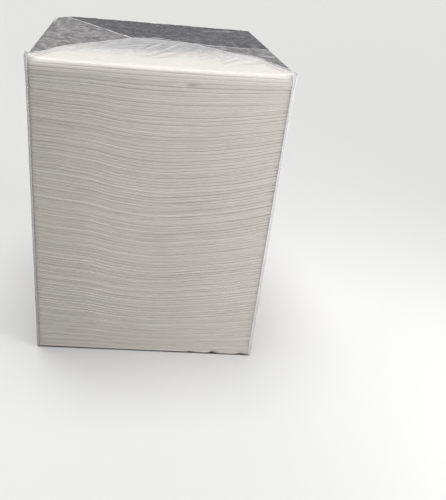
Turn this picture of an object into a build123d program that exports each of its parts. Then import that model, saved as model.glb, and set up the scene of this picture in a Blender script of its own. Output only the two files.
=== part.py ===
from build123d import *
import math
import os

# A stack of one hundred quarter-folded paper napkins, sealed in clear film.
# Millimetres, Z up. X runs along the front and the fold edges face -Y.
# The origin is the middle of the underside of the film.

# Napkins
napkin_side = 165.0
napkin_thickness = 2.17
napkin_count = 100
napkins_per_node = 2
fold_nose = 1.2  # depth over which a napkin draws in to its front fold
end_fold = 2.6  # length over which the second fold thins out at the left end
edge_drift = 0.4  # how far one napkin may lie out of line with the rest
deepest_sag = 11.0  # how far the layers sag between the two sides of the stack
twist_degrees = 5.0  # how far the top edge is turned in plan from the bottom edge

# Film
film_wall = 0.3
film_clearance = 0.3  # between the film and the napkin that stands out most
film_rise = 2.3  # how far the film behind, which is pulled straight, stands over the napkins' corners
seam_width = 18.0  # lap seam down the back
seal_gap = 1.6  # between the two flaps sealed to the underside

end_fold_share = 0.5  # thickness of a napkin at its thinned left end
turn_share = 2.4  # turns the drift from napkin to napkin, so that no two neighbours match

# How far the layers sag along the front, left to right, as shares of the side and of the sag
sag_along_shares = [
    (0.0, 0.0),
    (0.1, 0.18),
    (0.23, 0.35),
    (0.34, 0.74),
    (0.5, 1.0),
    (0.7, 0.7),
    (0.85, 0.43),
    (1.0, -0.1),
]

# How much of that sag a layer has, as shares of the stack's height and of the sag
sag_up_shares = [(0.0, 0.0), (0.2, 0.65), (0.45, 0.95), (0.7, 1.0), (0.9, 0.6), (1.0, 0.35)]

# Envelope fold on top: corners of the flaps' free edges, as shares of the wrap's plan
front_flap_shares = [(0.12, -0.057), (-0.107, -0.021)]
back_flap_shares = [(-0.123, -0.05), (0.147, -0.069), (0.5, -0.069)]
bottom_tip_share = 0.16  # half the width of a bottom flap at its free edge
rise_share = 0.5  # how far back from the front edge the film has risen off the napkins

# Worked out from the sizes above
room = edge_drift + film_clearance
inside = napkin_side + 2 * room
wrap_side = inside + 2 * film_wall
floor = 2 * film_wall
stack_height = napkin_count * napkin_thickness


def between(shares, at):
    """Reads a table of shares on straight lines, which run on past its two ends."""
    last = len(shares) - 2
    step = next((i for i in range(last) if at < shares[i + 1][0]), last)
    (start, low), (end, high) = shares[step], shares[step + 1]
    return low + (high - low) * (at - start) / (end - start)


def layer_height(layer, x):
    """Height of the underside of a napkin, counted from the lowest, at a place along X."""
    up = between(sag_up_shares, layer / napkin_count)
    along = between(sag_along_shares, x / napkin_side + 1 / 2)
    return floor + layer * napkin_thickness - deepest_sag * up * along


def skew(z):
    """Slope of the front in plan at a height: the soft stack is a little twisted, foot to top."""
    return math.tan(math.radians(twist_degrees)) * (z / stack_height - 1 / 2)


def napkin_section(layer, x, y, share):
    """A napkin cut across at x: flat behind, drawn in to its fold in front, share as thick."""
    low = layer_height(layer, x)
    high = layer_height(layer + 1, x)
    middle = (low + high) / 2
    half = (high - low) / 2 * share
    front = y + x * skew(middle) - napkin_side / 2
    behind = front + napkin_side
    outline = [
        (behind, middle - half),
        (front + fold_nose, middle - half),
        (front, middle),
        (front + fold_nose, middle + half),
        (behind, middle + half),
    ]
    return Wire.make_polygon([(x, y_at, z_at) for y_at, z_at in outline], close=True)


def napkin(layer):
    """One folded napkin, lofted along X through the sagging layer that it lies in."""
    drift_x = edge_drift * math.sin(turn_share * layer)
    drift_y = edge_drift * math.cos(turn_share * turn_share * layer)
    left = drift_x - napkin_side / 2
    right = drift_x + napkin_side / 2
    places = [(share - 1 / 2) * napkin_side for share, sag in sag_along_shares[1:-1]]
    stations = [(left, end_fold_share), (left + end_fold, 1)]
    stations += [(place, 1) for place in places] + [(right, 1)]
    sections = [napkin_section(layer, x, drift_y, share) for x, share in stations]
    return Solid.make_loft(sections, ruled=True)


def film_peak(raised):
    """Height of the part of the top sheet that is pulled straight."""
    return layer_height(napkin_count, -napkin_side / 2) + film_rise + raised


def under_sag(raised):
    """All that lies under the sagging line of the highest napkin."""
    inner = [(share - 1 / 2) * napkin_side for share, sag in sag_along_shares[1:-1]]
    outline = [(wrap_side, 0), (-wrap_side, 0)]
    for x in [-wrap_side] + inner + [wrap_side]:
        outline.append((x, layer_height(napkin_count, x) + film_clearance + raised))
    section = make_face(Polyline([(x, 0, z) for x, z in outline], close=True))
    return extrude(section, amount=wrap_side, dir=(0, 1, 0), both=True)


def under_roof(raised):
    """All that lies under the film behind, which rises from the front edge and is then level."""
    peak = film_peak(raised)
    low = layer_height(napkin_count, 0) + film_clearance + raised
    risen = (rise_share - 1 / 2) * wrap_side
    before = low - (peak - low) / (2 * rise_share)  # the same slope, carried on past the front edge
    outline = [(-wrap_side, 0), (wrap_side, 0), (wrap_side, peak), (risen, peak), (-wrap_side, before)]
    section = make_face(Polyline([(0, y, z) for y, z in outline], close=True))
    return extrude(section, amount=wrap_side, dir=(1, 0, 0), both=True)


def column(corners, bottom, top):
    """A block over corners given in plan, which twists with height as the stack does."""
    ends = []
    for z in (bottom, top):
        ends.append(Wire.make_polygon([(x, y + x * skew(z), z) for x, y in corners], close=True))
    return Solid.make_loft(ends, ruled=True)


def wrap_block(out, bottom, raised):
    """The wrap's form, out from the cavity on each side, its top on the napkins only in front."""
    half = inside / 2 + out
    corners = [(half, half), (-half, half), (-half, -half), (half, -half)]
    block = column(corners, bottom, 2 * stack_height)
    return block & (under_sag(raised) + under_roof(raised))


def top_flap(corners, plies):
    """A flap of the envelope fold: so many plies over the top sheet, within corners in plan."""
    over = wrap_block(film_wall, film_wall, (1 + plies) * film_wall)
    under = wrap_block(film_wall, film_wall, film_wall)
    return (over - under) & column(corners, film_wall, 2 * stack_height)


def bottom_flap(side):
    """A flap sealed to the underside, from the front (-1) or back (1) to near the middle."""
    root = wrap_side / 2 - film_wall
    tip = bottom_tip_share * wrap_side
    free = side * seal_gap / 2
    edge = side * wrap_side
    corners = [(-root, edge), (root, edge), (tip, free), (-tip, free)]
    return wrap_block(film_wall, 0, 0) & column(corners, 0, film_wall)


def film_wrap():
    """The closed film: a thin shell, its folded flaps above and below, and the seam behind."""
    shell = wrap_block(film_wall, film_wall, film_wall) - wrap_block(0, floor, 0)
    root = wrap_side / 2 - film_wall
    front_corners = [(-root, -wrap_side), (root, -wrap_side), (root, -wrap_side / 2)]
    front_corners += [(x * wrap_side, y * wrap_side) for x, y in front_flap_shares]
    front_corners += [(-root, -wrap_side / 2)]
    back_corners = [(root, wrap_side), (-root, wrap_side), (-root, wrap_side / 2)]
    back_corners += [(x * wrap_side, y * wrap_side) for x, y in back_flap_shares]
    top_flaps = top_flap(front_corners, 2) + top_flap(back_corners, 1)
    bottom_flaps = bottom_flap(-1) + bottom_flap(1)
    near = wrap_side / 2 - film_wall
    far = wrap_side / 2 + film_wall
    seam_half = seam_width / 2
    seam_corners = [(-seam_half, near), (seam_half, near), (seam_half, far), (-seam_half, far)]
    seam = column(seam_corners, film_wall, film_peak(0))
    return shell + top_flaps + bottom_flaps + (seam - wrap_block(0, floor, 0))


os.makedirs("parts", exist_ok=True)

export_step(film_wrap(), "parts/film_wrap.step")

for first in range(0, napkin_count, napkins_per_node):
    group = [napkin(layer) for layer in range(first, min(first + napkins_per_node, napkin_count))]
    number = first // napkins_per_node + 1
    export_step(Compound(children=group), f"parts/napkin_pair_{number:02d}.step")
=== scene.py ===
import bisect
import bmesh
import bpy
import math
from mathutils import Matrix, Vector, noise


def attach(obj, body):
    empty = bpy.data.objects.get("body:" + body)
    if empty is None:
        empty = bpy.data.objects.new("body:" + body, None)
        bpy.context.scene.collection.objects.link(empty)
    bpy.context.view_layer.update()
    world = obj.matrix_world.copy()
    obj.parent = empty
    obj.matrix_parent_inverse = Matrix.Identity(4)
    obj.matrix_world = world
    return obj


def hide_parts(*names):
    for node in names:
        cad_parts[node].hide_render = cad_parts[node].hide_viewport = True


# A stack of a hundred folded paper napkins in clear film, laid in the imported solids
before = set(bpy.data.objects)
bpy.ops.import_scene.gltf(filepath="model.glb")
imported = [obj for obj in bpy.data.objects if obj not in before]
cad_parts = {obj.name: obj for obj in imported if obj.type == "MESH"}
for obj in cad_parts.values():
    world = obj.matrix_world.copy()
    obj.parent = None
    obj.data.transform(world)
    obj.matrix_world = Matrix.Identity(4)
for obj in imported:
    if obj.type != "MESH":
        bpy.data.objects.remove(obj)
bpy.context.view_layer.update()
print("frame loaded:", len(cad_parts), "nodes")

mm = 0.001

stack = {
    "side": 165.0 * mm,  # a folded napkin is square
    "thickness": 2.17 * mm,  # of a folded napkin
    "count": 100,
    "perPiece": 2,
    "floor": 0.6 * mm,
    "sag": 11.0 * mm,
    "twist": 5.0,  # degrees that the top edge is turned from the foot
    # How much of the sag a layer has along the front, and at its height in the stack
    "sagAlong": [(0.0, 0.0), (0.1, 0.24), (0.23, 0.42), (0.34, 0.8), (0.5, 1.04), (0.7, 0.78),
                 (0.85, 0.43), (1.0, -0.1)],
    "sagUp": [(0.0, 0.0), (0.1, 0.5), (0.22, 0.8), (0.45, 1.04), (0.7, 1.05), (0.88, 0.66), (1.0, 0.0)],
    # Local waves in the layers: place along, width, place up, width, height
    "waves": [(0.1, 0.05, 0.72, 0.1, 1.2 * mm), (0.27, 0.06, 0.6, 0.12, -0.5 * mm),
              (0.72, 0.1, 0.36, 0.1, 0.6 * mm), (0.5, 0.1, 0.9, 0.05, 0.5 * mm),
              (0.3, 0.1, 0.25, 0.1, -0.5 * mm), (0.68, 0.07, 0.84, 0.05, -0.7 * mm)],
    "stillFoot": 10,  # the waves fade out in the lowest part of this many
    "wander": 0.34 * mm,  # how far a fold line strays from its level
    "wanderLength": 34.0 * mm,
    "wanderStep": 1.37,  # sets the strays of neighbouring lines apart
    "fineWander": (0.5, 2.7),  # a second stray is so much weaker and so much shorter
    "innerWander": 0.5,  # share of the stray between the two pairs of a napkin
    "droop": 3.0 * mm,  # of the back left corner of the top
    "droopReach": 7.0 * mm,
}


def clearSelection():
    if bpy.context.mode != "OBJECT":
        bpy.ops.object.mode_set(mode="OBJECT")
    bpy.ops.object.select_all(action="DESELECT")


def makeActive(piece):
    clearSelection()
    piece.select_set(True)
    bpy.context.view_layer.objects.active = piece


def clamp(value, low=0.0, high=1.0):
    return max(low, min(high, value))


def easeIn(value):
    share = clamp(value)
    return share * share * (3 - 2 * share)


def waver(across, along, seed):
    # Smooth chance between about -1 and 1, in another pattern for each seed
    return noise.noise(Vector((across, along, seed)))


def readSmooth(table, at):
    # One smooth line through the points of a table
    last = len(table) - 1
    at = clamp(at, table[0][0], table[last][0])
    step = 0
    while step < last - 1 and at > table[step + 1][0]:
        step += 1
    slopes = []
    for place in (step, step + 1):
        before = table[max(place - 1, 0)]
        after = table[min(place + 1, last)]
        slopes.append((after[1] - before[1]) / (after[0] - before[0]))
    start, end = table[step], table[step + 1]
    width = end[0] - start[0]
    t = (at - start[0]) / width
    ease = t * t * (3 - 2 * t)
    bend = t * (1 - t) * width * (slopes[0] * (1 - t) - slopes[1] * t)
    return start[1] + (end[1] - start[1]) * ease + bend


def pairLevel(level, x):
    # Height of the line under a folded pair, two pairs to a napkin, counted from the foot
    up = level / (2 * stack["count"])
    along = x / stack["side"] + 0.5
    height = stack["floor"] + level * stack["thickness"] / 2
    height -= stack["sag"] * readSmooth(stack["sagUp"], up) * readSmooth(stack["sagAlong"], along)
    foot = clamp(up * stack["stillFoot"])
    for place, width, rise, spread, swell in stack["waves"]:
        reach = ((along - place) / width) ** 2 + ((up - rise) / spread) ** 2
        height += foot * swell * math.exp(-reach)
    if 0 < level < 2 * stack["count"]:
        at = x / stack["wanderLength"]
        row = level * stack["wanderStep"]
        weaker, shorter = stack["fineWander"]
        stray = waver(at, row, 4.2) + weaker * waver(at * shorter, row, 9.1)
        height += stack["wander"] * stray * (1.0 if level % 2 == 0 else stack["innerWander"])
    return height


topMid = stack["count"] * stack["thickness"]


def turned(x, y, z):
    # The soft stack is a little turned in plan, foot to top
    lean = math.tan(math.radians(stack["twist"])) * (z / topMid - 0.5)
    return Vector((x, y + x * lean, z))


def cornerDroop(x, y):
    # The back left corner of the top hangs a little
    away = math.hypot(x + stack["side"] / 2, y - stack["side"] / 2)
    return stack["droop"] * math.exp(-(away / stack["droopReach"]) ** 2)


def pickEdges(piece, test):
    bpy.ops.mesh.select_mode(type="EDGE")
    bpy.ops.mesh.select_all(action="DESELECT")
    mesh = bmesh.from_edit_mesh(piece.data)
    for edge in mesh.edges:
        if test(edge.verts[0].co, edge.verts[1].co):
            edge.select_set(True)
    bmesh.update_edit_mesh(piece.data)


def cutAcross(axis, places):
    # Straight cuts right through, square to one axis
    normal = [1.0 if axis == letter else 0.0 for letter in "xyz"]
    for place in places:
        bpy.ops.mesh.select_all(action="SELECT")
        at = [place * share for share in normal]
        bpy.ops.mesh.bisect(plane_co=at, plane_no=normal, threshold=1e-6)


def evenPlaces(low, high, count):
    return [low + (high - low) * (step + 1) / (count + 1) for step in range(count)]


def squareBlock(name, side, tall):
    # A block that stands on the ground, opened to be cut
    clearSelection()
    bpy.ops.mesh.primitive_cube_add(size=1, location=(0, 0, tall / 2), scale=(side, side, tall))
    block = bpy.context.object
    block.name = name
    bpy.ops.object.transform_apply(location=True, rotation=True, scale=True)
    bpy.ops.object.mode_set(mode="EDIT")
    return block


def addMask(piece, name, values):
    layer = piece.data.attributes.new(name, "FLOAT", "POINT")
    layer.data.foreach_set("value", values)


# The napkins

napkinShape = {
    "cornerRound": 1.3 * mm,
    "smoothUnder": 60.0,  # degrees between faces that are shaded as one
    "cutsAlong": 54,
    "cutsDeep": 34,  # only on the top pair, which shows
    "cutsNearFront": [0.8 * mm, 1.8 * mm, 3.2 * mm],
    "foldHeights": [0.14, 0.5, 0.86],  # shares of a pair's thickness where its edges are cut
    "pairGroove": (0.05 * mm, 0.4 * mm),  # least and most depth between the two pairs of a napkin
    "napkinGroove": (0.4 * mm, 1.9 * mm),  # the same between two napkins
    # What takes a groove from its least to its most: a base, from line to line, along a line, to the left
    "grooveMix": (0.36, 0.9, 0.45, 0.3),
    "grooveLength": 48.0 * mm,
    "grooveProfile": (0.3, 0.7, 6),  # share of plain slope, share of sharp lip, power of the lip
    "calmLayers": (5, 24),  # from the top down, grooves fade out in the first and are weaker in the second
    "noseDrift": 0.22 * mm,  # how far a fold stands out or back
    "noseMix": (1.2, 0.6),  # from pair to pair, and along one
    "noseLength": 60.0 * mm,
    "openGroove": 0.55 * mm,  # between the leaves at the cut edges
    "leafLip": 0.4 * mm,
    "ragged": 0.3 * mm,  # how far the leaves' edges stand out of line
    "endFold": 1.3 * mm,  # how far the fold at the left end draws in
    "rightInset": 1.1 * mm,
    "shoulder": 4.2 * mm,  # the front edge of the highest pairs is drawn back to this round
    "shoulderReach": 9.0 * mm,
    "droopDepth": 30.0 * mm,  # how far down the layers follow the hanging corner
    # Places where the front is pushed in: along, reach, level, spread, depth
    "dents": [(14.0 * mm, 4.2 * mm, 193.2, 0.7, 1.8 * mm), (52.5 * mm, 2.4 * mm, 0.4, 2.2, 1.9 * mm),
              (75.0 * mm, 2.0 * mm, 0.4, 1.8, 1.6 * mm), (34.0 * mm, 1.6 * mm, 0.2, 1.2, 1.2 * mm)],
}


def makePair():
    # Two leaves of paper joined by the fold in front, still flat and square
    side, thick = stack["side"], stack["thickness"] / 2
    pair = squareBlock("foldedPair", side, thick)
    pickEdges(pair, lambda a, b: abs(a.z - b.z) > thick / 2)
    bpy.ops.mesh.bevel(offset=napkinShape["cornerRound"], segments=2, affect="EDGES")
    cutAcross("z", [share * thick for share in napkinShape["foldHeights"]])
    cutAcross("x", evenPlaces(-side / 2, side / 2, napkinShape["cutsAlong"]))
    bpy.ops.object.mode_set(mode="OBJECT")
    return pair


def makeTopPair(pair):
    # The highest pair shows its whole face, so it is cut both ways
    makeActive(pair)
    bpy.ops.object.duplicate()
    top = bpy.context.object
    top.name = "topPair"
    bpy.ops.object.mode_set(mode="EDIT")
    near = [-stack["side"] / 2 + away for away in napkinShape["cutsNearFront"]]
    cutAcross("y", near + evenPlaces(near[-1], stack["side"] / 2, napkinShape["cutsDeep"]))
    bpy.ops.object.mode_set(mode="OBJECT")
    return top


def grooveDepth(level, x):
    low, high = napkinShape["napkinGroove"] if level % 2 == 0 else napkinShape["pairGroove"]
    base, byLine, byPlace, byLeft = napkinShape["grooveMix"]
    plain = waver(level * 3.17, 1.3, 7.7)
    along = waver(x / napkinShape["grooveLength"], level * 2.31, 2.9)
    leftward = clamp(0.5 - x / stack["side"])
    return low + (high - low) * clamp(base + byLine * plain + byPlace * along + byLeft * leftward)


def noseOut(level, x):
    byPair, byPlace = napkinShape["noseMix"]
    plain = waver(level * 1.91, 5.3, 0.7)
    along = waver(x / napkinShape["noseLength"], level * 1.73, 6.1)
    return napkinShape["noseDrift"] * (byPair * plain + byPlace * along)


def layPair(pair, level):
    # Lays a copy of the flat pair in the stack, on its own sagging lines
    half = stack["side"] / 2
    thick = stack["thickness"] / 2
    edge = napkinShape["cornerRound"]
    last = 2 * stack["count"]
    below = last - 1 - level
    shoulder = napkinShape["shoulder"]
    slope, lip, power = napkinShape["grooveProfile"]
    # The grooves are shallow near the top and die out in the rounded shoulder
    fade, weak = napkinShape["calmLayers"]
    calm = clamp((below + 0.5) / fade) * (0.5 + 0.5 * clamp(below / weak))
    lines = {}
    for point in pair.data.vertices:
        x, y, share = point.co.x, point.co.y, clamp(point.co.z / thick)
        key = round(x, 6)
        if key not in lines:
            lines[key] = (pairLevel(level, x), pairLevel(level + 1, x), grooveDepth(level, x),
                          grooveDepth(level + 1, x), noseOut(level, x))
        low, high, grooveLow, grooveHigh, nose = lines[key]
        front = clamp(1 - (y + half) / edge)
        back = clamp(1 - (half - y) / edge)
        left = clamp(1 - (x + half) / edge)
        right = clamp(1 - (half - x) / edge)
        deep = (grooveLow if share < 0.5 else grooveHigh) * calm
        away = abs(2 * share - 1)
        inward = front * (deep * (slope * away + lip * away ** power) - nose)
        within = (level % 2 + share) / 2  # share of the whole napkin's thickness
        roll = 1 - math.sqrt(max(0.0, 1 - (2 * within - 1) ** 2))
        inX = left * napkinShape["endFold"] * roll
        leaf = 2 * level + (0 if share < 0.5 else 1)
        opened = napkinShape["openGroove"] * (1 - min(1.0, 3 * abs(share - 0.5)))
        opened += napkinShape["leafLip"] * away ** power
        opened += napkinShape["ragged"] * waver(leaf * 2.77, 3.1, 8.8)
        inXRight = right * (opened + napkinShape["rightInset"])
        inYBack = back * opened
        push = 0.0
        for along, reach, middle, spread, depth in napkinShape["dents"]:
            push += depth * math.exp(-((x - along) / reach) ** 2 - ((level + share - middle) / spread) ** 2)
        z = low + (high - low) * share
        near = clamp((z - (topMid - napkinShape["droopDepth"])) / napkinShape["droopDepth"])
        z -= near * near * cornerDroop(x, y)
        under = (below + 1 - share) * thick  # depth under the top of the stack
        drawBack = 0.0
        if under < shoulder:
            drawBack = shoulder - math.sqrt(shoulder ** 2 - (shoulder - under) ** 2)
        drawBack *= clamp(1 - (y + half) / napkinShape["shoulderReach"])
        y += inward - inYBack + push * front + drawBack
        point.co = turned(x + inX - inXRight, y, z)


def leafTone(pair, level):
    tone = 0.5 + 0.5 * waver(level * 2.13, 0.4, 5.9)
    addMask(pair, "leafTone", [clamp(tone)] * len(pair.data.vertices))


def joinPieces(pieces, name):
    clearSelection()
    for piece in pieces:
        piece.select_set(True)
    bpy.context.view_layer.objects.active = pieces[0]
    if len(pieces) > 1:
        bpy.ops.object.join()
    joined = bpy.context.object
    joined.name = name
    joined.data.name = name
    return joined


def makeNapkins(pair, topPair):
    made = []
    pairsPerPiece = 2 * stack["perPiece"]
    pieceCount = stack["count"] // stack["perPiece"]
    for number in range(pieceCount):
        laid = []
        for step in range(pairsPerPiece):
            level = number * pairsPerPiece + step
            source = topPair if level == 2 * stack["count"] - 1 else pair
            copy = source.copy()
            copy.data = source.data.copy()
            bpy.context.collection.objects.link(copy)
            layPair(copy, level)
            leafTone(copy, level)
            laid.append(copy)
        piece = joinPieces(laid, f"napkins{number + 1:02d}")
        bpy.ops.object.shade_smooth_by_angle(angle=math.radians(napkinShape["smoothUnder"]))
        made.append(piece)
    return made


# The clear film

filmShape = {
    "half": 83.5 * mm,
    "cornerRound": 1.7 * mm,  # upright corners
    "topRound": 4.4 * mm,
    "footRound": 1.4 * mm,
    "footPull": 0.4,  # share of the foot's round by which the walls draw in
    "clearance": 0.4 * mm,  # over the highest napkin, in front
    "cornerLift": (2.4 * mm, 8),  # the film stands over the paper at the corners, and how sharply it rises
    "tautHeight": 220.2 * mm,  # of the sheet behind, which is pulled straight
    "tautReach": 95.0 * mm,
    "underside": 0.32 * mm,
    "cell": 2.6 * mm,
    "wallCell": 8.0 * mm,
    "cutsNearEdge": [0.45 * mm, 1.1 * mm, 2.0 * mm, 3.1 * mm, 4.4 * mm],
    "thickness": 0.06 * mm,
    "smoothUnder": 50.0,  # degrees
    "ply": 0.2 * mm,  # from one folded layer to the next
    "foldLine": (0.5 * mm, 1.2 * mm),  # a fold's painted highlight is full to the first and gone at the second
    "underFlap": (0.1 * mm, 0.5 * mm),  # the tucks' haze and painted shade are full to the first and gone at the second
    "innerLine": 3.1 * mm,  # a fold runs this far inside the back left edges
    "swell": (0.5 * mm, 26.0 * mm, 20.0 * mm),  # of the top sheet: height, length, calm margin
    "ruffle": (0.3 * mm, 7.0 * mm, 6.0 * mm),  # height, length along and across
    "fineRuffle": (0.5, 3.2 * mm),  # so much weaker, and its length
    "ruffleMargin": 9.0 * mm,
    "ruffleBehind": (0.45, 0.55, 70.0 * mm),  # share at the front edge, what it gains, and by where
    "jag": (0.8 * mm, 4.5 * mm, 9.0 * mm),  # unevenness of the back edge: height, length along and across
    "jagReach": (7.0 * mm, 9.0 * mm),  # in from the back edge, and clear of the corners
    # Ears of film at the front corners: height, reach, and how far they stand out sideways
    "leftEar": (2.8 * mm, 3.4 * mm, 0.7 * mm),
    "rightEar": (0.5 * mm, 6.0 * mm, 1.3 * mm),
    "earDepth": 9.0 * mm,
    "sway": (0.22 * mm, 30.0 * mm, 45.0 * mm),  # of the walls: depth, length along and up
}

# What the film's masks say: haze is how thick the veil is, tone how pale it is, and low tone in the tucks and
# on the back flap is painted shade and dark reflection; the fold mask is painted highlight on folds and edges
filmMasks = {
    "plain": (0.03, 0.9),  # haze and tone of one layer over paper
    "tuckHazeAndShade": (0.63, 0.76),  # what a tuck adds to the haze, and the tone it takes away, which is painted shade and dark reflection
    "tuckMottle": (0.16, 9.0 * mm),
    "wallHaze": 0.035,
    "strip": (0.2, 0.35, 3.4 * mm, 4.0 * mm),  # the same in the walls' strips at the front, and their size
    "topEdgeHighlight": (0.55, 1.6 * mm),  # brightness and width of the painted highlight along the top edge
    "frontDepth": 4.0 * mm,  # the top edge's painted highlight stops this far from the front
    "upright": (0.35, 0.55, 0.1),  # painted highlight on the upright corners: base, gain up to the top on the right, gain on the left
    "innerLine": (0.75, 36.0 * mm, 20.0 * mm),  # painted highlight along the inner fold: brightness, where it starts, how soon it is full
    # Painted highlight round the front left corner of the top: brightness and reach
    "leftCorner": (0.5, 5.0 * mm),
    "overrun": 1.4,  # a mask's patch is full to near its size and gone past it
}

# Sharp creases on the front flap and near the gather: from, to, height, width, all in mm
flapCreases = [
    (-14.8, -57.0, -0.9, -36.2, 0.4, 0.8), (-7.6, -56.7, 11.2, -38.5, 0.45, 0.8),
    (-12.1, -36.6, 3.8, -9.8, 0.4, 0.9), (-2.0, -40.0, 12.0, -14.0, 0.25, 0.8),
    (37.7, -59.1, 53.2, -39.5, 0.35, 0.9), (51.0, -57.6, 67.7, -45.5, 0.45, 0.9),
    (67.7, -45.5, 76.2, -65.0, 0.4, 0.9), (76.2, -65.0, 80.7, -80.1, 0.35, 0.9),
    (14.0, -10.0, 30.0, -36.0, 0.25, 0.7), (20.0, -9.0, 37.0, -38.0, 0.22, 0.7),
    (26.0, -12.5, 43.0, -44.0, 0.28, 0.7), (32.0, -17.0, 47.0, -45.0, 0.22, 0.7),
    (38.5, -21.0, 51.0, -46.0, 0.25, 0.7), (45.0, -26.0, 56.0, -47.0, 0.22, 0.7),
    (22.0, -13.0, 6.0, -36.0, 0.2, 0.7), (31.0, -20.0, 14.0, -44.0, 0.22, 0.7),
    (41.0, -27.0, 24.0, -50.0, 0.2, 0.7), (50.0, -33.0, 36.0, -55.0, 0.22, 0.7),
    (-55.0, -36.0, -47.0, -46.0, 0.35, 1.6), (-60.0, -52.0, -55.0, -48.0, -0.4, 1.6),
    (-40.0, -24.0, -16.0, -14.0, 0.22, 1.0), (-30.0, -34.0, -8.0, -20.0, 0.2, 1.0),
    (-46.0, -34.0, -22.0, -28.0, 0.2, 1.0), (-25.0, -12.0, -4.0, -4.5, 0.3, 0.9),
    (2.0, -30.0, 16.0, -8.0, 0.22, 0.8), (-20.0, -20.0, -2.0, -12.0, 0.2, 0.8),
]
# And on the back flap, where the folds gather
gatherCreases = [
    (-12.3, 7.9, 1.3, -1.3, 0.7, 1.2), (-16.0, 3.5, 3.0, 2.2, 0.5, 1.0), (-6.0, 6.0, 9.0, -1.0, 0.6, 1.0),
    (-4.0, 3.0, 16.0, -2.0, 0.4, 1.0), (8.0, 14.0, 30.0, 9.0, 0.25, 1.3), (26.0, 22.0, 52.0, 12.0, 0.25, 1.4),
    (-40.0, 52.0, -12.0, 40.0, 0.25, 1.4), (36.0, 60.0, 66.0, 70.0, 0.3, 1.5),
]

creaseShape = {
    "past": 0.3,  # a crease is worked out this share past its ends
    "reach": 3,  # and this many widths to its sides
    "fade": (0.25, 0.75, 0.6),  # height at the ends, what the middle adds, and how quickly
}


def creaseHeight(creases, x, y):
    height = 0.0
    for startX, startY, endX, endY, tall, wide in creases:
        runX, runY = (endX - startX) * mm, (endY - startY) * mm
        span = runX * runX + runY * runY
        along = ((x - startX * mm) * runX + (y - startY * mm) * runY) / span
        if not -creaseShape["past"] < along < 1 + creaseShape["past"]:
            continue
        nearX, nearY = startX * mm + clamp(along) * runX, startY * mm + clamp(along) * runY
        away = math.hypot(x - nearX, y - nearY) / (wide * mm)
        if away < creaseShape["reach"]:
            ends, middle, power = creaseShape["fade"]
            fade = ends + middle * math.sin(math.pi * clamp(along)) ** power
            height += tall * mm * fade * math.exp(-away * away)
    return height


def filmTop(x, y):
    # The top sheet lies on the paper in front and is pulled straight behind
    half = filmShape["half"]
    paper = pairLevel(2 * stack["count"], x) + filmShape["clearance"]
    lift, power = filmShape["cornerLift"]
    line = paper + lift * min(1.0, abs(x) / half) ** power
    share = easeIn((y + half) / filmShape["tautReach"])
    height = line + (filmShape["tautHeight"] - line) * share
    swell, length, margin = filmShape["swell"]
    soft = waver(x / length, y / length, 1.7)
    height += swell * soft * clamp((half - max(abs(x), abs(y))) / margin)
    return height - cornerDroop(x, y)


def sheetNode(column, row):
    # Height of the top sheet, with its ruffles, where two of its lines cross
    key = (column, row)
    if key not in sheetNodes:
        sheetNodes[key] = sheetHeight(sheetLines[column], sheetLines[row])
    return sheetNodes[key]


def sheetCell(at):
    cell = min(max(bisect.bisect(sheetLines, at) - 1, 0), len(sheetLines) - 2)
    return cell, clamp((at - sheetLines[cell]) / (sheetLines[cell + 1] - sheetLines[cell]))


def sheetTop(x, y):
    # Read between the sheet's own lines, so that every layer on top follows it and none cuts another
    column, shareX = sheetCell(x)
    row, shareY = sheetCell(y)
    near = sheetNode(column, row) * (1 - shareX) + sheetNode(column + 1, row) * shareX
    far = sheetNode(column, row + 1) * (1 - shareX) + sheetNode(column + 1, row + 1) * shareX
    return near * (1 - shareY) + far * shareY


def sheetHeight(x, y):
    half = filmShape["half"]
    calm = clamp((half - max(abs(x), abs(y))) / filmShape["ruffleMargin"])
    tall, along, across = filmShape["ruffle"]
    weaker, fine = filmShape["fineRuffle"]
    ruffle = waver(x / along, y / across, 3.3) + weaker * waver(x / fine, y / fine, 8.1)
    least, gain, reach = filmShape["ruffleBehind"]
    behind = least + gain * easeIn((y + half) / reach)
    jag, along, across = filmShape["jag"]
    deep, clear = filmShape["jagReach"]
    jagged = waver(x / along, y / across, 6.6)
    jagged *= clamp((y - half + deep) / deep) * clamp((half - abs(x)) / clear)
    return filmTop(x, y) + tall * ruffle * calm * behind + jag * jagged


def rounded(into, down, radius):
    # Distances in from the wall and down from the top, taken round the edge
    if into >= radius or down >= radius:
        return into, down
    away = Vector((into - radius, down - radius))
    away = away.normalized() * radius
    return radius + away.x, radius + away.y


def filmPlaces(low, high, cell):
    near = filmShape["cutsNearEdge"]
    middle = round((high - low - 2 * near[-1]) / cell) - 1
    places = [low + step for step in near] + [high - step for step in near]
    return places + evenPlaces(low + near[-1], high - near[-1], middle)


sheetPlaces = filmPlaces(-filmShape["half"], filmShape["half"], filmShape["cell"])
sheetLines = sorted([-filmShape["half"], filmShape["half"]] + sheetPlaces)
sheetNodes = {}


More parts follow.
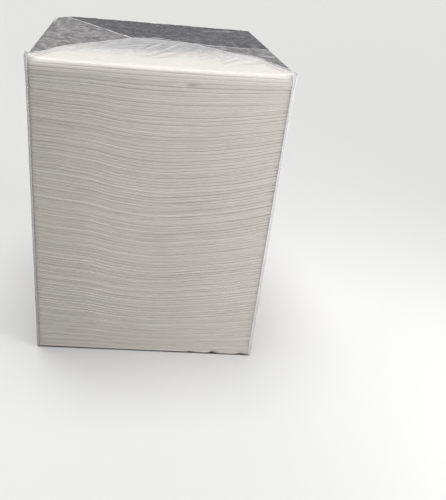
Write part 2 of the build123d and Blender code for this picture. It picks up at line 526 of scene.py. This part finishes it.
# Flaps on top, cut along straight lines between points in mm: each keeps what lies on the line's right
topFlaps = {
    "backFlap": {
        "cuts": [((-21.2, -0.9), (-79.0, 83.5)), ((84.0, -9.5), (-30.0, -4.0))],
        # The back flap's haze is a veil of film, and its dark tone is painted shade and dark reflection
        "ply": 1, "haze": 0.74, "tone": 0.0, "seed": 21.0, "cells": 100, "curl": 0.05 * mm,
        "pucker": 0.1 * mm, "wide": 1.6, "creases": gatherCreases,
        "mottle": (0.12, 0.06, 13.0 * mm),  # of haze and of tone, and its length
        "rightTone": 0.03,  # the flap is paler to the right
    },
    "frontFlap": {
        "cuts": [((-82.6, -83.0), (-66.4, -48.4)), ((-66.4, -48.4), (-18.3, 0.2)),
                 ((-18.3, 0.2), (19.8, -4.9)), ((19.8, -4.9), (67.4, -40.0)),
                 ((67.4, -40.0), (82.6, -83.0))],
        "ply": 2, "haze": 0.03, "tone": 0.98, "seed": 33.0, "cells": 185, "curl": 0.12 * mm,
        "pucker": 0.03 * mm, "wide": 1.0, "creases": flapCreases,
        "tipShade": (0.6, 0.5),  # painted shade: towards its tip the flap gains haze and loses tone
        "tipShadePlace": (0.12, 0.1, 0.2),  # where that starts, how much later on the right, how soon it is full
        "creaseShade": (0.35, 0.3),  # the same painted shade on the dark side of a crease
    },
}

flapShape = {
    "margin": 0.4 * mm,
    "stray": (0.8 * mm, 11.0 * mm, 6.0 * mm),  # of a free edge: height, length, how far in it goes
    "fineStray": (0.6, 3.5 * mm),
    "strayBack": 0.7,  # share by which an edge strays in plan
    "curlReach": 1.4 * mm,
    "puckerLength": 2.6 * mm,
    "puckerMargin": 6.0 * mm,
    "creaseSide": (0.5 * mm, 0.6 * mm, 0.22 * mm),  # the step that tells a crease's painted highlight side from its painted shade side, and its scale
    "edgeHighlight": (0.95, 0.75, 0.6, 8.0 * mm),  # painted highlight of a fold: brightness, evenness, patchiness, length
    # Painted highlight on a crease's side that faces the light
    "creaseHighlight": 0.55,
}


def flapEdges(name):
    edges = []
    for start, end in topFlaps[name]["cuts"]:
        run = Vector(end) - Vector(start)
        edges.append((Vector(start) * mm, Vector((run.y, -run.x)).normalized()))
    return edges


def cutBeside(edges, steps):
    # Cuts so far inside each edge of a flap, and with a step of none it takes off what lies outside
    for start, inward in edges:
        for step in steps:
            at = start + inward * step
            bpy.ops.mesh.select_all(action="SELECT")
            bpy.ops.mesh.bisect(plane_co=at.to_3d(), plane_no=inward.to_3d(), threshold=1e-7,
                                clear_inner=step == 0.0)


def addVeil(piece, haze, tone, fold):
    addMask(piece, "haze", haze)
    addMask(piece, "tone", tone)
    addMask(piece, "fold", fold)


def topVeil(x, y):
    # Haze and tone of the top sheet, which is folded double in the tucks beside the front flap; the tucks'
    # darker tone is painted shade and dark reflection
    plainHaze, plainTone = filmMasks["plain"]
    moreHaze, lessTone = filmMasks["tuckHazeAndShade"]
    mottle, length = filmMasks["tuckMottle"]
    full, gone = filmShape["underFlap"]
    covered = min((Vector((x, y)) - at).dot(inward) for at, inward in flapEdges("frontFlap"))
    bare = 1 - clamp((covered - full) / (gone - full))
    crinkle = waver(x / length, y / length, 12.0)
    return plainHaze + bare * (moreHaze + mottle * crinkle), plainTone - lessTone * bare


def wallVeil(x, y):
    # Haze and tone of the walls, with a thicker strip beside the two front corners
    half = filmShape["half"]
    over = filmMasks["overrun"]
    moreHaze, lessTone, wide, deep = filmMasks["strip"]
    strip = clamp(over - (half - abs(x)) / wide) * clamp(over - (y + half) / deep)
    return filmMasks["wallHaze"] + moreHaze * strip, filmMasks["plain"][1] - lessTone * strip


def foldLight(x, y, lift, down, into, upright):
    # Painted highlight on the body's folds, at a share of its height, so far down and in from its edges
    half = filmShape["half"]
    bright = 0.0
    if upright:
        base, gainRight, gainLeft = filmMasks["upright"]
        bright = base + (gainRight * lift if x > 0 else gainLeft)
    if y >= -half + filmMasks["frontDepth"]:
        full, wide = filmMasks["topEdgeHighlight"]
        bright = max(bright, full * (clamp(1 - down / wide) * clamp(1 - into / wide)))
    if down < 1e-6:
        full, start, reach = filmMasks["innerLine"]
        along = y if half + x < half - y else -x
        onLine = abs(into - filmShape["innerLine"]) < 0.1 * mm
        if x < 0 and y > 0 and onLine and along > start:
            bright = max(bright, full * clamp((along - start) / reach))
        full, reach = filmMasks["leftCorner"]
        away = math.hypot(x + half, y + half) / reach
        bright = max(bright, full * clamp(filmMasks["overrun"] - away))
    return bright


def makeFilmBody():
    half, tall = filmShape["half"], topMid
    body = squareBlock("filmBody", 2 * half, tall)
    cutAcross("x", sheetPlaces)
    cutAcross("y", sheetPlaces)
    cutAcross("z", filmPlaces(0, tall, filmShape["wallCell"]))
    # The front flap's outline, so that the tucks can end sharply under it
    cutBeside(flapEdges("frontFlap"), filmShape["underFlap"])
    bpy.ops.object.mode_set(mode="OBJECT")

    haze, tone, fold = [], [], []
    plan = filmShape["cornerRound"]
    leftTall, leftReach, leftOut = filmShape["leftEar"]
    rightTall, rightReach, rightOut = filmShape["rightEar"]
    sway, swayAlong, swayUp = filmShape["sway"]
    for point in body.data.vertices:
        x, y, z = point.co
        intoX, intoY = rounded(half - abs(x), half - abs(y), plan)
        atX, atY = math.copysign(half - intoX, x), math.copysign(half - intoY, y)
        down = tall - z
        onTop = down < 1e-6
        newX, downX = rounded(intoX, down, filmShape["topRound"])
        newY, downY = rounded(intoY, down, filmShape["topRound"])
        topAt = sheetTop(atX, atY)
        # Ears of film stand up at the two front corners
        earLeft = math.exp(-(math.hypot(atX + half, atY + half) / leftReach) ** 2)
        earRight = math.exp(-(math.hypot(atX - half, atY + half) / rightReach) ** 2)
        nearTop = clamp(1 - down / filmShape["earDepth"])
        topAt += (leftTall * earLeft + rightTall * earRight) * nearTop
        height = z * topAt / tall
        if down < filmShape["topRound"]:
            height = topAt - max(downX, downY)
        height = max(height, filmShape["underside"])
        # Draws in round the top and foot edges, and sways a little down the walls
        foot = clamp(1 - z / filmShape["footRound"])
        pull = filmShape["footPull"] * filmShape["footRound"] * foot * foot
        if not onTop and z > 1e-6:
            pull -= sway * waver(atX / swayAlong, atY / swayAlong, height / swayUp)
        moveX = newX - intoX + (pull if intoX < plan else 0.0)
        moveY = newY - intoY + (pull if intoY < plan else 0.0)
        atX += (rightOut * earRight - leftOut * earLeft) * nearTop
        point.co = turned(atX - math.copysign(moveX, x), atY - math.copysign(moveY, y), height)

        veil = topVeil(x, y) if onTop else wallVeil(x, y)
        upright = intoX < plan and intoY < plan and not onTop
        haze.append(veil[0])
        tone.append(veil[1])
        # The fold mask here is painted highlight
        fold.append(foldLight(x, y, height / tall, down, min(intoX, intoY), upright))
    addVeil(body, haze, tone, fold)
    return body


def flapVeil(facts, x, y, crease):
    # Haze and tone of a flap: the front one has painted shade towards its tip and on its creases' dark sides,
    # the back one is mottled
    half = filmShape["half"]
    haze, tone = facts["haze"], facts["tone"]
    if "tipShade" in facts:
        away = (y + half) / (2 * half)
        start, later, reach = facts["tipShadePlace"]
        tipShade = easeIn((away - start - later * max(0.0, x) / half) / reach)
        moreHaze, lessTone = facts["tipShade"]
        creaseHaze, creaseTone = facts["creaseShade"]
        haze = haze + moreHaze * tipShade + creaseHaze * clamp(-crease)
        tone = tone - lessTone * tipShade - creaseTone * clamp(-crease)
    if "mottle" in facts:
        moreHaze, moreTone, length = facts["mottle"]
        mottle = waver(x / length, y / length, 2.2)
        haze = haze + moreHaze * mottle
        tone = tone + moreTone * clamp(mottle) + facts["rightTone"] * clamp(x / half)
    return haze, tone


def makeTopFlap(name):
    facts = topFlaps[name]
    half, cells = filmShape["half"], facts["cells"]
    clearSelection()
    bpy.ops.mesh.primitive_grid_add(x_subdivisions=cells, y_subdivisions=cells,
                                    size=2 * half - 2 * flapShape["margin"])
    flap = bpy.context.object
    flap.name = name
    bpy.ops.object.mode_set(mode="EDIT")
    edges = flapEdges(name)
    # The band of the painted highlight along the free edges, widened by the flap's own share
    full, gone = (line * facts["wide"] for line in filmShape["foldLine"])
    cutBeside(edges, (0.0, full, gone))
    bpy.ops.object.mode_set(mode="OBJECT")

    haze, tone, fold = [], [], []
    seed = facts["seed"]
    strayTall, strayLength, strayIn = flapShape["stray"]
    weaker, fine = flapShape["fineStray"]
    pucker = flapShape["puckerLength"]
    sideX, sideY, scale = flapShape["creaseSide"]
    edgeHighlight, even, patchy, patch = flapShape["edgeHighlight"]
    for point in flap.data.vertices:
        x, y = point.co.x, point.co.y
        inside = min((Vector((x, y)) - at).dot(inward) for at, inward in edges)
        wave = waver(x / strayLength, y / strayLength, seed) + weaker * waver(x / fine, y / fine, seed + 5)
        stray = strayTall * wave * clamp(1 - inside / strayIn)
        intoX, intoY = half - abs(x), half - abs(y)
        into = min(intoX, intoY)
        newInto, newDown = rounded(into, 0.0, filmShape["topRound"])
        height = sheetTop(x, y) - newDown + facts["ply"] * filmShape["ply"]
        height += facts["curl"] * math.exp(-(inside / flapShape["curlReach"]) ** 2)  # the free edge curls up
        puckered = 1 + waver(x / pucker, y / pucker, seed + 9)
        height += facts["pucker"] * puckered * clamp(inside / flapShape["puckerMargin"])
        crease = creaseHeight(facts["creases"], x, y)
        height += crease
        # Positive on the side of a crease that gets painted highlight and negative on the side that gets
        # painted shade
        crease = (crease - creaseHeight(facts["creases"], x + sideX, y - sideY)) / scale
        shiftX = math.copysign(newInto - into, x) if intoX <= intoY else 0.0
        shiftY = math.copysign(newInto - into, y) if intoY < intoX else 0.0
        veil = flapVeil(facts, x, y, crease)
        haze.append(veil[0])
        tone.append(veil[1])
        # The fold mask is painted highlight along the free edges and on the creases' bright sides
        line = clamp(1 - (inside - full) / (gone - full))
        uneven = clamp(even + patchy * waver(x / patch, y / patch, 17.0))
        fold.append(max(edgeHighlight * line * uneven, flapShape["creaseHighlight"] * clamp(crease)))
        point.co = turned(x - shiftX, y + stray * flapShape["strayBack"] - shiftY, height)
    addVeil(flap, haze, tone, fold)
    return flap


bottomFlapShape = {
    "gap": 0.8 * mm,  # from the middle of the underside to a free edge
    "tip": 0.16,  # half the width of that edge, as a share of the wrap's side
    "height": 0.16 * mm,
    "inset": 2.0 * mm,
    "cuts": 24,
    "haze": 0.12, "tone": 0.8,
}


def makeBottomFlap(side):
    # Sealed to the underside, narrower towards its free edge
    half = filmShape["half"]
    gap, inset = bottomFlapShape["gap"], bottomFlapShape["inset"]
    tip = bottomFlapShape["tip"] * 2 * half
    clearSelection()
    middle = side * (half + gap) / 2
    bpy.ops.mesh.primitive_plane_add(size=1, location=(0, middle, bottomFlapShape["height"]))
    flap = bpy.context.object
    flap.name = "bottomFlap"
    flap.scale = (2 * half - 2 * inset, half - gap - inset, 1)
    bpy.ops.object.transform_apply(location=True, rotation=True, scale=True)
    bpy.ops.object.mode_set(mode="EDIT")
    bpy.ops.mesh.subdivide(number_cuts=bottomFlapShape["cuts"])
    bpy.ops.object.mode_set(mode="OBJECT")
    for point in flap.data.vertices:
        share = clamp(abs(point.co.y) / half)
        width = tip + (half - tip) * share
        point.co = turned(point.co.x / half * width, point.co.y, point.co.z)
    count = len(flap.data.vertices)
    addVeil(flap, [bottomFlapShape["haze"]] * count, [bottomFlapShape["tone"]] * count, [0.0] * count)
    return flap


backSeamShape = {
    "wide": 18.0 * mm,
    "foot": 3.0 * mm,  # height of its lower end
    "shorter": 7.0 * mm,  # than the stack
    "cells": (14, 90),
    "standOff": 0.35 * mm,
    "edge": 1.4 * mm,  # width of the painted highlight on the free edges
    "crimp": (0.12 * mm, 1.9 * mm),  # depth, and the length that sets its pitch
    "crimpPlace": (6.0 * mm, 3.0 * mm),  # away from the seam's middle, and how wide
    "sway": (0.5 * mm, 12.0 * mm, 16.0 * mm),  # of the seam: height, length across and up
    "swayShare": 0.25,
    "ragged": (0.5 * mm, 9.0 * mm),  # of its edges: how far and how long
    "haze": 0.2, "tone": 0.85, "fold": 0.7,
}


def makeBackSeam():
    # Lap seam down the back, with a crimped free edge and painted highlight on its free edges
    half, wide = filmShape["half"], backSeamShape["wide"]
    tall = topMid - backSeamShape["shorter"]
    columns, rows = backSeamShape["cells"]
    clearSelection()
    bpy.ops.mesh.primitive_grid_add(x_subdivisions=columns, y_subdivisions=rows, size=1)
    seam = bpy.context.object
    seam.name = "backSeam"
    seam.scale = (wide, tall, 1)
    bpy.ops.object.transform_apply(location=True, rotation=True, scale=True)
    depth, pitch = backSeamShape["crimp"]
    crimpAt, crimpWide = backSeamShape["crimpPlace"]
    swayTall, across, up = backSeamShape["sway"]
    raggedBy, raggedLength = backSeamShape["ragged"]
    standOff = half + backSeamShape["standOff"]
    fold = []
    for point in seam.data.vertices:
        x, z = point.co.x, point.co.y + tall / 2 + backSeamShape["foot"]
        edge = clamp(1 - (wide / 2 - abs(x)) / backSeamShape["edge"])
        pinch = depth * math.sin(z / pitch) * clamp(1 - abs(abs(x) - crimpAt) / crimpWide)
        sway = swayTall * waver(x / across, z / up, 31.0)
        ragged = raggedBy * waver(z / raggedLength, 2.0 if x > 0 else 5.0, 0.5) * edge
        point.co = turned(x + ragged, standOff + pinch + backSeamShape["swayShare"] * abs(sway), z)
        fold.append(backSeamShape["fold"] * edge)
    count = len(fold)
    addVeil(seam, [backSeamShape["haze"]] * count, [backSeamShape["tone"]] * count, fold)
    return seam


def wrapFilm():
    parts = [makeFilmBody(), makeTopFlap("backFlap"), makeTopFlap("frontFlap")]
    parts += [makeBottomFlap(-1), makeBottomFlap(1), makeBackSeam()]
    for part in parts:
        makeActive(part)
        wall = part.modifiers.new("wall", "SOLIDIFY")
        wall.thickness = filmShape["thickness"]
        wall.offset = 0
        bpy.ops.object.modifier_apply(modifier="wall")
    wrap = joinPieces(parts, "filmWrap")
    bpy.ops.object.shade_smooth_by_angle(angle=math.radians(filmShape["smoothUnder"]))
    return wrap


# Finishes

def newGroup(name, inputs, outputs):
    # An effect that is given a place and named values, and gives back named values
    group = bpy.data.node_groups.new(name, "ShaderNodeTree")
    group.interface.new_socket("Vector", in_out="INPUT", socket_type="NodeSocketVector")
    for way, labels in (("INPUT", inputs), ("OUTPUT", outputs)):
        for label in labels:
            group.interface.new_socket(label, in_out=way, socket_type="NodeSocketFloat")
    return group, group.nodes.new("NodeGroupInput"), group.nodes.new("NodeGroupOutput")


def mathNode(nodes, links, kind, first, second, clampIt=False):
    node = nodes.new("ShaderNodeMath")
    node.operation = kind
    node.use_clamp = clampIt
    for socket, value in zip(node.inputs, (first, second)):
        if isinstance(value, (int, float)):
            socket.default_value = value
        else:
            links.new(value, socket)
    return node.outputs[0]


def noiseNode(nodes, links, vector, scale, detail):
    node = nodes.new("ShaderNodeTexNoise")
    node.inputs["Detail"].default_value = detail
    links.new(vector, node.inputs["Vector"])
    if isinstance(scale, (int, float)):
        node.inputs["Scale"].default_value = scale
    else:
        links.new(scale, node.inputs["Scale"])
    return node.outputs["Fac"]


def makeTissueGrain():
    # Soft fibres and a faint press mark of the tissue
    inputs = ("Fibre Scale", "Cloud Scale", "Press Scale", "Press Share")
    group, given, out = newGroup("tissueGrain", inputs, ("Height", "Cloud"))
    nodes, links = group.nodes, group.links
    fibre = noiseNode(nodes, links, given.outputs["Vector"], given.outputs["Fibre Scale"], 3.0)
    cloud = noiseNode(nodes, links, given.outputs["Vector"], given.outputs["Cloud Scale"], 2.0)
    press = noiseNode(nodes, links, given.outputs["Vector"], given.outputs["Press Scale"], 1.0)
    press = mathNode(nodes, links, "MULTIPLY", press, given.outputs["Press Share"])
    height = mathNode(nodes, links, "ADD", fibre, press)
    links.new(height, out.inputs["Height"])
    links.new(cloud, out.inputs["Cloud"])
    return group


def makeFilmCrinkle():
    # Fine crinkle of pulled film, strongest where the film is folded
    inputs = ("Fine Scale", "Broad Scale", "Amount")
    group, given, out = newGroup("filmCrinkle", inputs, ("Height", "Speckle"))
    nodes, links = group.nodes, group.links
    fine = noiseNode(nodes, links, given.outputs["Vector"], given.outputs["Fine Scale"], 4.0)
    broad = noiseNode(nodes, links, given.outputs["Vector"], given.outputs["Broad Scale"], 3.0)
    both = mathNode(nodes, links, "ADD", fine, broad)
    links.new(mathNode(nodes, links, "MULTIPLY", both, given.outputs["Amount"]), out.inputs["Height"])
    links.new(mathNode(nodes, links, "MULTIPLY", both, 0.5), out.inputs["Speckle"])  # their mean
    return group


def newMaterial(name):
    material = bpy.data.materials.new(name)
    material.use_nodes = True
    nodes, links = material.node_tree.nodes, material.node_tree.links
    shader = nodes["Principled BSDF"]
    place = nodes.new("ShaderNodeTexCoord").outputs["Object"]
    return material, nodes, links, shader, place


def colourMix(nodes, links, share, low, high):
    node = nodes.new("ShaderNodeMix")
    node.data_type = "RGBA"
    links.new(share, node.inputs["Factor"])
    for socket, value in ((node.inputs[6], low), (node.inputs[7], high)):
        if isinstance(value, tuple):
            socket.default_value = value + (1.0,)
        else:
            links.new(value, socket)
    return node.outputs[2]


def placeEffect(nodes, links, group, place, values):
    effect = nodes.new("ShaderNodeGroup")
    effect.node_tree = group
    links.new(place, effect.inputs["Vector"])
    for label, value in values.items():
        effect.inputs[label].default_value = value
    return effect


def roughen(nodes, links, height, strength, distance):
    bump = nodes.new("ShaderNodeBump")
    bump.inputs["Strength"].default_value = strength
    bump.inputs["Distance"].default_value = distance
    links.new(height, bump.inputs["Height"])
    return bump.outputs["Normal"]


def readMask(nodes, name):
    node = nodes.new("ShaderNodeAttribute")
    node.attribute_name = name
    return node.outputs["Fac"]


paperFinish = {
    "pale": (0.89, 0.85, 0.8),
    "shade": (0.8, 0.75, 0.695),
    "roughness": 0.94,
    "shine": 0.25,
    "grain": 0.35,
    "grainDepth": 0.12 * mm,
    "grainScales": {"Fibre Scale": 900.0, "Cloud Scale": 45.0, "Press Scale": 260.0, "Press Share": 0.8},
    "cloudShare": 0.5,  # of the colour's change, by place
    "leafShare": 0.6,  # and from pair to pair
}


def makePaper(grain):
    material, nodes, links, shader, place = newMaterial("tissuePaper")
    effect = placeEffect(nodes, links, grain, place, paperFinish["grainScales"])
    mottle = mathNode(nodes, links, "MULTIPLY", effect.outputs["Cloud"], paperFinish["cloudShare"])
    tone = mathNode(nodes, links, "MULTIPLY", readMask(nodes, "leafTone"), paperFinish["leafShare"])
    share = mathNode(nodes, links, "ADD", mottle, tone, True)
    colour = colourMix(nodes, links, share, paperFinish["shade"], paperFinish["pale"])
    normal = roughen(nodes, links, effect.outputs["Height"], paperFinish["grain"], paperFinish["grainDepth"])
    links.new(colour, shader.inputs["Base Color"])
    links.new(normal, shader.inputs["Normal"])
    shader.inputs["Roughness"].default_value = paperFinish["roughness"]
    shader.inputs["Specular IOR Level"].default_value = paperFinish["shine"]
    return material


filmFinish = {
    # The grey is painted shade and dark reflection, where the tone is low
    "shadeGrey": (0.105, 0.103, 0.11),
    "pale": (0.86, 0.86, 0.87),
    # The white is painted highlight on folds and edges
    "foldWhite": (0.95, 0.95, 0.97),
    "roughness": 0.22,
    "crinkle": 0.5,
    "crinkleDepth": 0.25 * mm,
    "crinkleScales": {"Fine Scale": 560.0, "Broad Scale": 190.0},
    "mottle": 1.2,  # how far the speckle changes the tone
    "thinner": -1.8,  # and the cover, which is thinner where the film is paler
    "foldCover": 0.6,  # how much of the paper a fold's painted highlight hides
    "glossRoughness": 0.12,
    "plainShine": 0.01,  # share reflected where the film is seen square on
    "glanceShine": 0.06,  # and how much more when it is seen edge on
    "glancePower": 4.0,
    "clearness": (0.1, 1.3, 2.0),  # folded film is nearly clear from above, and grey at a glance
}


def makeFilm(crinkle):
    material, nodes, links, shader, place = newMaterial("clearFilm")
    effect = placeEffect(nodes, links, crinkle, place, filmFinish["crinkleScales"])
    haze, tone, fold = (readMask(nodes, name) for name in ("haze", "tone", "fold"))
    links.new(haze, effect.inputs["Amount"])
    speckle = mathNode(nodes, links, "SUBTRACT", effect.outputs["Speckle"], 0.5)
    mottled = mathNode(nodes, links, "MULTIPLY", speckle, filmFinish["mottle"])
    mottled = mathNode(nodes, links, "ADD", tone, mottled, True)
    # Low tone turns the film to the grey of painted shade and dark reflection
    body = colourMix(nodes, links, mottled, filmFinish["shadeGrey"], filmFinish["pale"])
    # Painted highlight: the fold mask turns the film white
    colour = colourMix(nodes, links, fold, body, filmFinish["foldWhite"])
    normal = roughen(nodes, links, effect.outputs["Height"], filmFinish["crinkle"],
                     filmFinish["crinkleDepth"])
    links.new(colour, shader.inputs["Base Color"])
    links.new(normal, shader.inputs["Normal"])
    shader.inputs["Roughness"].default_value = filmFinish["roughness"]
    shader.inputs["Specular IOR Level"].default_value = 0.0

    # How much of what lies behind the film is covered
    edgeOn = nodes.new("ShaderNodeLayerWeight")
    edgeOn.inputs["Blend"].default_value = 0.5
    least, gain, power = filmFinish["clearness"]
    seen = mathNode(nodes, links, "POWER", edgeOn.outputs["Facing"], power)
    seen = mathNode(nodes, links, "ADD", mathNode(nodes, links, "MULTIPLY", seen, gain), least, True)
    veil = mathNode(nodes, links, "MULTIPLY", haze, seen)
    thinner = mathNode(nodes, links, "MULTIPLY", veil, filmFinish["thinner"])
    cover = mathNode(nodes, links, "MULTIPLY", fold, filmFinish["foldCover"])
    cover = mathNode(nodes, links, "ADD", veil, cover)
    cover = mathNode(nodes, links, "ADD", cover, mathNode(nodes, links, "MULTIPLY", speckle, thinner), True)
    links.new(cover, shader.inputs["Alpha"])

    gloss = nodes.new("ShaderNodeBsdfGlossy")
    gloss.inputs["Roughness"].default_value = filmFinish["glossRoughness"]
    links.new(normal, gloss.inputs["Normal"])
    glance = mathNode(nodes, links, "POWER", edgeOn.outputs["Facing"], filmFinish["glancePower"])
    glance = mathNode(nodes, links, "MULTIPLY", glance, filmFinish["glanceShine"])
    glance = mathNode(nodes, links, "ADD", glance, filmFinish["plainShine"], True)
    surface = nodes.new("ShaderNodeMixShader")
    links.new(glance, surface.inputs["Fac"])
    links.new(shader.outputs[0], surface.inputs[1])
    links.new(gloss.outputs[0], surface.inputs[2])
    links.new(surface.outputs[0], nodes["Material Output"].inputs["Surface"])
    return material


def dress(piece, material, nodesReplaced):
    piece.data.materials.clear()
    piece.data.materials.append(material)
    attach(piece, "root")
    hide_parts(*nodesReplaced)


# The studio

studio = {
    "floorSize": 60,
    "floorRoughness": 0.85,
    "floor": (0.68, 0.68, 0.671),
    "floorBounce": (0.13, 0.13, 0.128),  # what the object's surroundings throw back on it
    "backdrop": (0.87, 0.87, 0.87),
    "fill": 0.07,
    "sun": {"from": (-0.05, 0.02, 1.0), "strength": 2.78, "angle": 42.0, "inGloss": True},
    "backSun": {"from": (-0.4, 0.8, 0.35), "strength": 1.0, "angle": 60.0, "inGloss": False},
    "side": {"place": (0.55, -0.38, 0.2), "target": (0.03, -0.05, 0.15), "size": 0.3, "power": 1.08,
             "spread": 100.0},
    "camera": {"place": (-0.0260, -0.4469, 0.2919), "yaw": 8.54, "pitch": 28.48, "roll": 6.31,
               "lens": 42.08, "sensor": 36.0, "shiftX": 0.06, "nearest": 10.0 * mm},
}


def seenDirectly(nodes, links):
    # One for rays that show the surroundings, none for those that light the object
    path = nodes.new("ShaderNodeLightPath")
    direct = mathNode(nodes, links, "ADD", path.outputs["Is Camera Ray"], path.outputs["Is Glossy Ray"])
    return mathNode(nodes, links, "ADD", direct, path.outputs["Is Transmission Ray"], True)


def placeLamp(light, place, target):
    lamp = bpy.data.objects.new(light.name, light)
    lamp.location = place
    lamp.rotation_euler = (target - place).to_track_quat("-Z", "Y").to_euler()
    bpy.context.collection.objects.link(lamp)
    return lamp


def makeStudio():
    clearSelection()
    bpy.ops.mesh.primitive_plane_add(size=studio["floorSize"], location=(0, 0, 0))
    ground = bpy.context.object
    ground.name = "studioFloor"
    material, nodes, links, shader, place = newMaterial("paleFloor")
    links.new(colourMix(nodes, links, seenDirectly(nodes, links), studio["floorBounce"], studio["floor"]),
              shader.inputs["Base Color"])
    shader.inputs["Roughness"].default_value = studio["floorRoughness"]
    ground.data.materials.append(material)

    world = bpy.data.worlds.new("studioWorld")
    bpy.context.scene.world = world
    world.use_nodes = True
    nodes, links = world.node_tree.nodes, world.node_tree.links
    sky = nodes["Background"]
    sky.inputs["Color"].default_value = (1.0, 1.0, 1.0, 1.0)
    sky.inputs["Strength"].default_value = studio["fill"]
    seen = nodes.new("ShaderNodeBackground")
    seen.inputs["Color"].default_value = studio["backdrop"] + (1.0,)
    switch = nodes.new("ShaderNodeMixShader")
    links.new(seenDirectly(nodes, links), switch.inputs["Fac"])
    links.new(sky.outputs[0], switch.inputs[1])
    links.new(seen.outputs[0], switch.inputs[2])
    links.new(switch.outputs[0], nodes["World Output"].inputs["Surface"])

    for name in ("sun", "backSun"):
        facts = studio[name]
        sun = bpy.data.lights.new(name, "SUN")
        sun.energy = facts["strength"]
        sun.angle = math.radians(facts["angle"])
        lamp = placeLamp(sun, Vector(facts["from"]), Vector((0, 0, 0)))
        lamp.visible_glossy = facts["inGloss"]
    facts = studio["side"]
    side = bpy.data.lights.new("sideSoftbox", "AREA")
    side.size = facts["size"]
    side.energy = facts["power"]
    side.spread = math.radians(facts["spread"])
    placeLamp(side, Vector(facts["place"]), Vector(facts["target"]))


def makeCamera():
    facts = studio["camera"]
    yaw, pitch, roll = (math.radians(facts[name]) for name in ("yaw", "pitch", "roll"))
    ahead = Vector((math.sin(yaw) * math.cos(pitch), math.cos(yaw) * math.cos(pitch), -math.sin(pitch)))
    right = Vector((math.cos(yaw), -math.sin(yaw), 0))
    up = right.cross(ahead)
    cameraX = right * math.cos(roll) + up * math.sin(roll)
    cameraY = up * math.cos(roll) - right * math.sin(roll)
    data = bpy.data.cameras.new("photoCamera")
    data.lens = facts["lens"]
    data.sensor_width = facts["sensor"]
    data.shift_x = facts["shiftX"]
    data.clip_start = facts["nearest"]
    camera = bpy.data.objects.new("photoCamera", data)
    bpy.context.collection.objects.link(camera)
    pose = Matrix((cameraX, cameraY, -ahead)).transposed().to_4x4()
    pose.translation = Vector(facts["place"])
    camera.matrix_world = pose
    bpy.context.scene.camera = camera


makeStudio()
makeCamera()
print("studio and camera ready")

flatPair = makePair()
flatTopPair = makeTopPair(flatPair)
napkinPieces = makeNapkins(flatPair, flatTopPair)
bpy.data.objects.remove(flatPair)
bpy.data.objects.remove(flatTopPair)
print("napkins folded and stacked:", len(napkinPieces), "pieces")

filmWrap = wrapFilm()
print("film wrapped:", len(filmWrap.data.polygons), "faces")

tissuePaper = makePaper(makeTissueGrain())
clearFilm = makeFilm(makeFilmCrinkle())
for number, piece in enumerate(napkinPieces):
    dress(piece, tissuePaper, [f"napkin_pair_{number + 1:02d}"])
dress(filmWrap, clearFilm, ["film_wrap"])
print("finishes on")

bpy.context.scene.view_settings.view_transform = "Standard"
